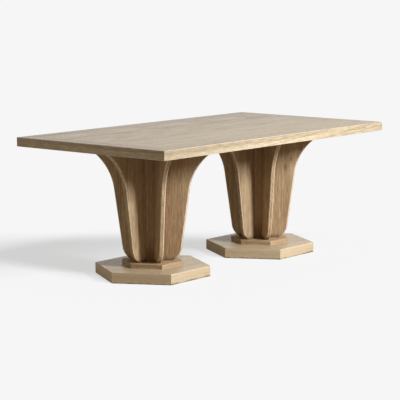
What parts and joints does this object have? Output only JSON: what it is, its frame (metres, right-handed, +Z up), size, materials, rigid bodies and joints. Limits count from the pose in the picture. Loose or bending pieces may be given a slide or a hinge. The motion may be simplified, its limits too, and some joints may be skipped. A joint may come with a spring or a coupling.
{
  "type": "double pedestal dining table",
  "caption": "Rectangular wooden dining table with a framed top on twin pedestals of flared upright fins, each on a stepped hexagonal plinth with recessed levelling feet.",
  "frame": {"origin": "on the floor under the middle of the table top", "axes": "+X along the table's length, +Y across it, +Z up"},
  "size_m": [1.93, 1.066, 0.762],
  "materials": {
    "oak": "matte lacquered oak veneer",
    "inner_wood": "raw sanded wood",
    "steel_plate": "black powder coat",
    "steel": "zinc plated",
    "brass": "as turned",
    "nylon": "moulded"
  },
  "bodies": {
    "table": {"long_border_front": "oak", "long_border_back": "oak", "end_border_left": "oak", "end_border_right": "oak", "top_panel": "oak", "fin_left_1": "oak", "fin_left_2": "oak", "fin_left_3": "oak", "fin_left_4": "oak", "fin_left_5": "oak", "fin_left_6": "oak", "core_post_left": "oak", "cap_left": "oak", "plinth_panel_left": "oak", "plinth_sides_left": "oak", "mounting_plate_left": "steel_plate", "fin_right_1": "oak", "fin_right_2": "oak", "fin_right_3": "oak", "fin_right_4": "oak", "fin_right_5": "oak", "fin_right_6": "oak", "core_post_right": "oak", "cap_right": "oak", "plinth_panel_right": "oak", "plinth_sides_right": "oak", "mounting_plate_right": "steel_plate", "under_panel": "inner_wood", "cross_ribs": "inner_wood", "fixing_blocks": "inner_wood", "edge_tongues": "inner_wood", "corner_splines": "inner_wood", "corner_blocks": "inner_wood", "fin_dowels": "inner_wood", "foot_dowels": "inner_wood", "plate_bolts": "steel", "bolt_washers": "steel", "plate_screws": "steel", "tie_rods": "steel", "tie_rod_nuts": "steel", "tie_rod_washers": "steel", "top_inserts": "brass", "leveller_inserts": "brass"},
    "pad_left_1": {"leveller_pad_left_1": "nylon"},
    "stem_left_1": {"leveller_stem_left_1": "steel"},
    "pad_left_2": {"leveller_pad_left_2": "nylon"},
    "stem_left_2": {"leveller_stem_left_2": "steel"},
    "pad_left_3": {"leveller_pad_left_3": "nylon"},
    "stem_left_3": {"leveller_stem_left_3": "steel"},
    "pad_left_4": {"leveller_pad_left_4": "nylon"},
    "stem_left_4": {"leveller_stem_left_4": "steel"},
    "pad_right_1": {"leveller_pad_right_1": "nylon"},
    "stem_right_1": {"leveller_stem_right_1": "steel"},
    "pad_right_2": {"leveller_pad_right_2": "nylon"},
    "stem_right_2": {"leveller_stem_right_2": "steel"},
    "pad_right_3": {"leveller_pad_right_3": "nylon"},
    "stem_right_3": {"leveller_stem_right_3": "steel"},
    "pad_right_4": {"leveller_pad_right_4": "nylon"},
    "stem_right_4": {"leveller_stem_right_4": "steel"}
  },
  "joints": [
    {"name": "leveller_left_1_height", "type": "slide", "parent": "table", "child": "pad_left_1", "axis": [0, 0, -1], "range_m": [0, 0.012]},
    {"name": "leveller_left_1_turn", "type": "hinge", "parent": "pad_left_1", "child": "stem_left_1", "pos_m": [-0.3565, 0.20352, 0.012], "axis": [0, 0, -1], "range_deg": [0, 2880]},
    {"name": "leveller_left_2_height", "type": "slide", "parent": "table", "child": "pad_left_2", "axis": [0, 0, -1], "range_m": [0, 0.012]},
    {"name": "leveller_left_2_turn", "type": "hinge", "parent": "pad_left_2", "child": "stem_left_2", "pos_m": [-0.5915, 0.20352, 0.012], "axis": [0, 0, -1], "range_deg": [0, 2880]},
    {"name": "leveller_left_3_height", "type": "slide", "parent": "table", "child": "pad_left_3", "axis": [0, 0, -1], "range_m": [0, 0.012]},
    {"name": "leveller_left_3_turn", "type": "hinge", "parent": "pad_left_3", "child": "stem_left_3", "pos_m": [-0.5915, -0.20352, 0.012], "axis": [0, 0, -1], "range_deg": [0, 2880]},
    {"name": "leveller_left_4_height", "type": "slide", "parent": "table", "child": "pad_left_4", "axis": [0, 0, -1], "range_m": [0, 0.012]},
    {"name": "leveller_left_4_turn", "type": "hinge", "parent": "pad_left_4", "child": "stem_left_4", "pos_m": [-0.3565, -0.20352, 0.012], "axis": [0, 0, -1], "range_deg": [0, 2880]},
    {"name": "leveller_right_1_height", "type": "slide", "parent": "table", "child": "pad_right_1", "axis": [0, 0, -1], "range_m": [0, 0.012]},
    {"name": "leveller_right_1_turn", "type": "hinge", "parent": "pad_right_1", "child": "stem_right_1", "pos_m": [0.5915, 0.20352, 0.012], "axis": [0, 0, -1], "range_deg": [0, 2880]},
    {"name": "leveller_right_2_height", "type": "slide", "parent": "table", "child": "pad_right_2", "axis": [0, 0, -1], "range_m": [0, 0.012]},
    {"name": "leveller_right_2_turn", "type": "hinge", "parent": "pad_right_2", "child": "stem_right_2", "pos_m": [0.3565, 0.20352, 0.012], "axis": [0, 0, -1], "range_deg": [0, 2880]},
    {"name": "leveller_right_3_height", "type": "slide", "parent": "table", "child": "pad_right_3", "axis": [0, 0, -1], "range_m": [0, 0.012]},
    {"name": "leveller_right_3_turn", "type": "hinge", "parent": "pad_right_3", "child": "stem_right_3", "pos_m": [0.3565, -0.20352, 0.012], "axis": [0, 0, -1], "range_deg": [0, 2880]},
    {"name": "leveller_right_4_height", "type": "slide", "parent": "table", "child": "pad_right_4", "axis": [0, 0, -1], "range_m": [0, 0.012]},
    {"name": "leveller_right_4_turn", "type": "hinge", "parent": "pad_right_4", "child": "stem_right_4", "pos_m": [0.5915, -0.20352, 0.012], "axis": [0, 0, -1], "range_deg": [0, 2880]}
  ],
  "couplings": [
    {"joint": "leveller_left_1_turn", "follows": "leveller_left_1_height", "rad_per_m": 4188.8},
    {"joint": "leveller_left_2_turn", "follows": "leveller_left_2_height", "rad_per_m": 4188.8},
    {"joint": "leveller_left_3_turn", "follows": "leveller_left_3_height", "rad_per_m": 4188.8},
    {"joint": "leveller_left_4_turn", "follows": "leveller_left_4_height", "rad_per_m": 4188.8},
    {"joint": "leveller_right_1_turn", "follows": "leveller_right_1_height", "rad_per_m": 4188.8},
    {"joint": "leveller_right_2_turn", "follows": "leveller_right_2_height", "rad_per_m": 4188.8},
    {"joint": "leveller_right_3_turn", "follows": "leveller_right_3_height", "rad_per_m": 4188.8},
    {"joint": "leveller_right_4_turn", "follows": "leveller_right_4_height", "rad_per_m": 4188.8}
  ]
}
